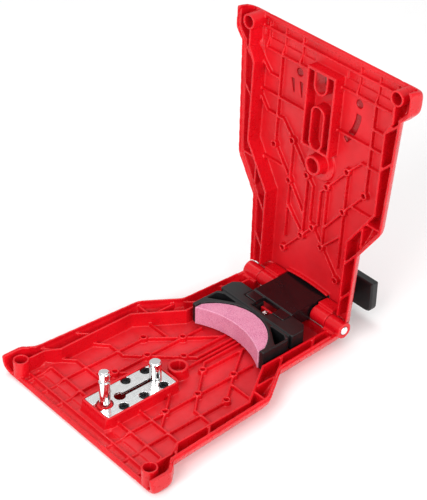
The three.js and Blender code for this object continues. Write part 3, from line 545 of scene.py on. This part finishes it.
def arch_rim(bm):
    """Raised rim over the slide's arched way, on the lid's inner floor."""
    half = 20 * MM
    crown = 10.1 * MM          # hinge axis to the rim at the arch's middle
    rise = 1.4 * MM
    width = 1.5 * MM
    raised = 8.8 * MM          # depth of the rim's top
    sunk = FLOOR_DEPTH + 0.4 * MM
    steps = 24
    rings = []
    for i in range(steps + 1):
        across = 2 * i / steps - 1
        inner = crown - rise * across ** 2
        outer = inner + width
        here = hinge_axis + Vector((0, half * across, 0))
        rings.append([bm.verts.new(here + LID_RUN * run + LID_DEPTH * depth)
                      for run, depth in ((inner, raised), (inner, sunk), (outer, sunk), (outer, raised))])
    faces = [bm.faces.new(rings[0]), bm.faces.new(rings[-1][::-1])]
    for low, high in zip(rings, rings[1:]):
        for k in range(4):
            n = (k + 1) % 4
            faces.append(bm.faces.new((low[n], low[k], high[k], high[n])))
    bmesh.ops.recalc_face_normals(bm, faces=faces)


lid_nodes = ["lid_shell", "lid_lug_far", "lid_lug_near"]
lid = moulded("lid_moulding", lid_nodes, lid_red, SHELL_VOXEL, 2, SHELL_KEEP, prepare_lid, arch_rim)
belong(lid, "lid", "red_plastic", *lid_nodes)


# ---- Steel plate ------------------------------------------------------------

def notched_side(side):
    """Edge of the plate at y = side * PLATE_HALF with three round notches."""
    dip = math.degrees(math.asin((PLATE_HALF - SCREW_Y) / SCREW_NOTCH))
    points = []
    for x in SCREW_X:
        points += arc(x, -SCREW_Y, SCREW_NOTCH, 180 + dip, -dip, 28)
    if side > 0:
        points = [(x, -y) for x, y in reversed(points)]
    return points


def plate_front():
    """Front edge with the open notch round the fixed pin, from +Y to -Y."""
    dip = math.degrees(math.asin(PIN_NOTCH_MOUTH / PIN_NOTCH))
    return [(PLATE_X[0], PIN_NOTCH_MOUTH),
            *arc(FRONT_PIN_X, 0, PIN_NOTCH, 180 - dip, -180 + dip, 40),
            (PLATE_X[0], -PIN_NOTCH_MOUTH)]


def plate_outline(near_side, far_side):
    """Outline of the plate with rounded corners and the given points along its sides."""
    front, back = PLATE_X[0] + PLATE_CORNER, PLATE_X[1] - PLATE_CORNER
    half = PLATE_HALF - PLATE_CORNER
    return [*arc(front, -half, PLATE_CORNER, 180, 270, 5), *near_side,
            *arc(back, -half, PLATE_CORNER, 270, 360, 5), *arc(back, half, PLATE_CORNER, 0, 90, 5),
            *far_side, *arc(front, half, PLATE_CORNER, 90, 180, 5), *plate_front()]


keyhole_dip = math.degrees(math.asin(SLOT_HALF / KEYHOLE_RADIUS))
keyhole = [*arc(KEYHOLE_X, 0, KEYHOLE_RADIUS, keyhole_dip, 360 - keyhole_dip, 40),
           *arc(SLIDING_PIN_X, 0, SLOT_HALF, -90, 90, 14)]
through = [arc(x, side * SCREW_Y, SCREW_HOLE, 0, 345, 23) for x in SCREW_X for side in (1, -1)]
layer_bottom = PLATE_TOP - NOTCHED_LAYER
upper = flat_plate("pin_plate_steel", [plate_outline(notched_side(-1), notched_side(1)), keyhole],
                   layer_bottom, PLATE_TOP, 0.16 * MM, plate_nickel)
lower = flat_plate("pin_plate_lower", [plate_outline([], []), keyhole, *through],
                   PLATE_TOP - PLATE_THICKNESS, layer_bottom + LAYER_OVERLAP, 0.05 * MM, plate_nickel)
belong(joined(upper, lower), "base", "bright_metal", "pin_plate")


# ---- Pins -------------------------------------------------------------------

front_pin = piece("front_bar_pin_steel", turned_mesh("front_pin", millimetres([
    (0, 3.8), (2, 3.8), (2, 10.2), (3.6, 10.2), (3.6, 28.9), (2.7, 29.5), (2.7, 30.8), (3.6, 31.5),
    (3.6, 35.4), (3.2, 36.1), (2.4, 36.5), (0, 36.5)])), pin_nickel)
moved(front_pin, x=FRONT_PIN_X)
belong(bevelled(front_pin, 0.14 * MM, angle=18), "base", "bright_metal", "front_bar_pin")

sliding_pin = piece("sliding_bar_pin_steel", turned_mesh("sliding_pin", millimetres([
    (0, 4.5), (1.2, 4.5), (1.2, 10.8), (3.9, 10.8), (4.1, 11.1), (4.1, 22.7), (3.75, 23.2), (3.3, 23.5),
    (0, 23.5)])), pin_nickel)
moved(sliding_pin, x=SLIDING_PIN_X)
belong(bevelled(sliding_pin, 0.16 * MM, angle=18), "pin_slider", "bright_metal", "sliding_bar_pin")

for side, where in SIDES:
    low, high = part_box(f"hinge_pin_{where}")
    length = high.y - low.y
    mesh = turned_mesh(f"hinge_pin_{where}", [
        (0, 0), (2.5 * MM, 0), (3 * MM, 0.5 * MM), (3 * MM, length - 0.5 * MM),
        (2.6 * MM, length - 0.08 * MM), (0, length)], 48)
    pin = piece(f"hinge_pin_{where}_steel", mesh, pin_nickel)
    moved(pin, HINGE_X, 0, HINGE_Z, Matrix.Rotation(math.radians(-90 * side), 4, "X"))
    moved(pin, y=low.y if side > 0 else high.y)
    belong(bevelled(pin, 0.15 * MM, angle=20), "base", "bright_metal", f"hinge_pin_{where}")


# ---- Screws -----------------------------------------------------------------

def cross_screw_mesh(name, head_radius, head_height, shank_radius, length):
    """Pan head screw with a tapered cross recess, head top at z = 0."""
    head = turned_mesh(name, [
        (0, -length), (shank_radius * 0.35, -length), (shank_radius, -length + 1.4 * MM),
        (shank_radius, -head_height), (head_radius * 0.96, -head_height),
        (head_radius, -head_height * 0.85), (head_radius, -head_height * 0.5),
        (head_radius * 0.93, -head_height * 0.28), (head_radius * 0.78, -head_height * 0.12),
        (head_radius * 0.5, -head_height * 0.03), (0, 0)], 40)
    obj = piece(name, head, screw_black)
    bm = bmesh.new()
    for turn in (0, math.pi / 2):
        cutter = bmesh.ops.create_cube(bm, size=1)["verts"]
        for vert in cutter:
            wide = 1.0 if vert.co.z > 0 else 0.62
            long, thick = head_radius * 1.22 * wide, head_radius * 0.34 * wide
            vert.co = Vector((vert.co.x * long, vert.co.y * thick, vert.co.z * head_height * 1.5))
        bmesh.ops.rotate(bm, verts=cutter, cent=(0, 0, 0), matrix=Matrix.Rotation(turn, 3, "Z"))
    cut = bpy.data.meshes.new(name + "_cross")
    bm.to_mesh(cut)
    bm.free()
    tool = bpy.data.objects.new(name + "_cross", cut)
    bpy.context.scene.collection.objects.link(tool)
    boolean = obj.modifiers.new("cross", "BOOLEAN")
    boolean.operation = "DIFFERENCE"
    boolean.object = tool
    boolean.use_self = True
    remesh = obj.modifiers.new("voxels", "REMESH")
    remesh.mode = "VOXEL"
    remesh.voxel_size = 0.12 * MM
    obj.modifiers.new("soft_edges", "SMOOTH").iterations = 2
    obj.modifiers.new("fewer", "DECIMATE").ratio = 0.4
    settle(obj)
    even_normals(obj)
    mesh = obj.data
    bpy.data.objects.remove(obj)
    bpy.data.objects.remove(tool)
    return mesh


def screws(mesh, body, places):
    """One screw for each (node, matrix)."""
    for node, matrix in places:
        own = mesh.copy()
        own.transform(matrix)
        belong(piece(node + "_steel", own, screw_black), body, "black_screw", node)


head_z = PLATE_TOP + 0.1 * MM
screws(cross_screw_mesh("plate_screw", 3.1 * MM, 1.2 * MM, 1.3 * MM, 6.4 * MM), "base", [
    (f"plate_screw_{where}_{i + 1}",
     Matrix.Translation((x, side * SCREW_Y, head_z)) @ Matrix.Rotation(0.5 + 1.1 * i + 0.7 * side, 4, "Z"))
    for i, x in enumerate(SCREW_X) for side, where in SIDES])
# From below, up through the carriage into the slide plate.
screws(cross_screw_mesh("carriage_screw", 2.8 * MM, 1.6 * MM, 1.15 * MM, 12 * MM), "carriage", [
    (f"carriage_screw_{where}",
     Matrix.Translation((68 * MM, side * 13.5 * MM, 7.7 * MM)) @ Matrix.Rotation(math.pi, 4, "X"))
    for side, where in SIDES])
# From behind, through the paddle into the slide plate.
screws(cross_screw_mesh("paddle_screw", 3.1 * MM, 1.8 * MM, 1.2 * MM, 13 * MM), "carriage", [
    (f"paddle_screw_{where}",
     Matrix.Translation((133.15 * MM, side * 12 * MM, 20 * MM)) @ Matrix.Rotation(math.pi / 2, 4, "Y")
     @ Matrix.Rotation(0.6 * side, 4, "Z"))
    for side, where in SIDES])


# ---- Stone, carriage, slide and paddle --------------------------------------

stone = moulded("grinding_stone_abrasive", ["grinding_stone"], stone_pink, 0.36 * MM, 2, 1)
# A fine uneven surface, in the mesh itself.
grit = bpy.data.textures.new("grit", "CLOUDS")
grit.noise_scale = 0.0011
grit.noise_depth = 2
rough_face = stone.modifiers.new("grit", "DISPLACE")
rough_face.texture = grit
rough_face.texture_coords = "LOCAL"
rough_face.strength = 0.16 * MM
rough_face.mid_level = 0.55
belong(settle(stone), "carriage", "pink_stone", "grinding_stone")

carriage = moulded("stone_carriage_moulding", ["stone_carriage"], carriage_black, 0.34 * MM, 2, 0.3)
belong(carriage, "carriage", "black_plastic", "stone_carriage")
slide = moulded("slide_plate_moulding", ["slide_plate"], slide_black, 0.34 * MM, 2, 0.25)
belong(slide, "carriage", "black_plastic", "slide_plate")
paddle = moulded("push_paddle_moulding", ["push_paddle"], carriage_black, 0.4 * MM, 3, 0.3)
belong(paddle, "carriage", "black_plastic", "push_paddle")


# ---- Return spring ----------------------------------------------------------

def spring_line(low, high, wire):
    """Centre line of the wire inside the box low to high: a hook at the base's tab,
    the coils, and a short tail that ends in the carriage."""
    axis_z = (low.z + high.z) / 2
    coil = (high.z - low.z) / 2 - wire
    hook = 2.2 * MM
    tail = 0.8 * MM
    turns, turn_steps, hook_steps, tail_steps = 11, 22, 16, 8
    start, end = high.x - hook, low.x + 1.2 * MM
    hook_tip = high.x - wire + 0.1 * MM
    points = []
    for k in range(hook_steps + 1):
        a = math.pi * (0.95 - 0.85 * k / hook_steps)
        points.append(Vector((hook_tip - hook * (1 - math.sin(a)) * 0.9, 0,
                              axis_z + coil * 0.95 * math.cos(a))))
    steps = turns * turn_steps
    for k in range(steps + 1):
        a = 2 * math.pi * k / turn_steps
        points.append(Vector((start + (end - start) * k / steps,
                              coil * math.sin(a), axis_z + coil * math.cos(a))))
    for k in range(1, tail_steps + 1):
        part = k / tail_steps
        points.append(Vector((end - tail * part, 0, axis_z + coil * math.cos(math.pi / 2 * part))))
    return points


SPRING_WIRE = 0.52 * MM        # radius of the wire
low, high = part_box("return_spring")
spring = piece("return_spring_coil", tube_mesh("spring", spring_line(low, high, SPRING_WIRE), SPRING_WIRE),
               spring_steel)
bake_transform(spring)
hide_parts("return_spring")

# Under the plate, where they hardly show, the CAD's own meshes stay.
for name in ("sliding_pin_washer", "sliding_pin_nut"):
    node = frame["nodes"][name]
    node.data.materials.clear()
    node.data.materials.append(spring_steel)


# ---- Stage ------------------------------------------------------------------

floor_mat, tree, shader = material("pale_floor")
place = tree.nodes.new("ShaderNodeTexCoord").outputs["Object"]
tree.links.new(blend_colour(tree, noise(tree, place, 3), (0.93, 0.93, 0.93), (0.95, 0.95, 0.95)),
               shader.inputs["Base Color"])
shader.inputs["Roughness"].default_value = 0.8
bm = bmesh.new()
bmesh.ops.create_grid(bm, x_segments=1, y_segments=1, size=6)
floor_mesh = bpy.data.meshes.new("floor")
bm.to_mesh(floor_mesh)
bm.free()
floor = piece("floor", floor_mesh, floor_mat)
floor.location.z = cad_box[0][2] - 0.1 * MM

world = bpy.data.worlds.new("studio")
world.use_nodes = True
background = world.node_tree.nodes["Background"]
background.inputs["Color"].default_value = (1, 1, 1, 1)
background.inputs["Strength"].default_value = 0.62
bpy.context.scene.world = world
bpy.context.scene.view_settings.view_transform = "Standard"


def softbox(name, at, size, power, aim=(0.0, 0.0, 0.05)):
    """Square area lamp at the point at, facing aim; size in metres, power in watts."""
    lamp = bpy.data.lights.new(name, "AREA")
    lamp.shape = "SQUARE"
    lamp.size = size
    lamp.energy = power
    obj = bpy.data.objects.new(name, lamp)
    bpy.context.scene.collection.objects.link(obj)
    obj.location = at
    obj.rotation_euler = (Vector(aim) - Vector(at)).to_track_quat("-Z", "Y").to_euler()


softbox("key", (-1.0, -0.3, 0.8), 0.7, 10)
softbox("side", (-0.1, -1.2, 0.6), 0.6, 9)
softbox("top", (0.3, 0.5, 1.3), 0.9, 5)


# ---- Camera -----------------------------------------------------------------

AZIMUTH = math.radians(47.28)      # heading of the view, from +X toward +Y
ELEVATION = math.radians(34.23)
ROLL = 0.031                       # in radians
WIDTH, HEIGHT = 427, 500           # picture, in pixels
FOCAL = 1536.85                    # in pixels
PRINCIPAL = (237.44, 231.88)       # where the axis of view meets the picture, in pixels
CAMERA_AT = (-0.51047, -0.59490, 0.64494)
SENSOR = 36                        # in millimetres

forward = Vector((math.cos(ELEVATION) * math.cos(AZIMUTH), math.cos(ELEVATION) * math.sin(AZIMUTH),
                  -math.sin(ELEVATION)))
right = Vector((math.sin(AZIMUTH), -math.cos(AZIMUTH), 0))
up = right.cross(forward)
camera_right = right * math.cos(ROLL) + up * math.sin(ROLL)
camera_up = up * math.cos(ROLL) - right * math.sin(ROLL)
lens = bpy.data.cameras.new("camera")
lens.sensor_width = SENSOR
lens.lens = SENSOR * FOCAL / HEIGHT
lens.shift_x = (WIDTH / 2 - PRINCIPAL[0]) / HEIGHT
lens.shift_y = (PRINCIPAL[1] - HEIGHT / 2) / HEIGHT
camera = bpy.data.objects.new("camera", lens)
bpy.context.scene.collection.objects.link(camera)
turn = Matrix((camera_right, camera_up, -forward)).transposed()
camera.matrix_world = Matrix.Translation(CAMERA_AT) @ turn.to_4x4()
bpy.context.scene.camera = camera

bpy.context.view_layer.update()
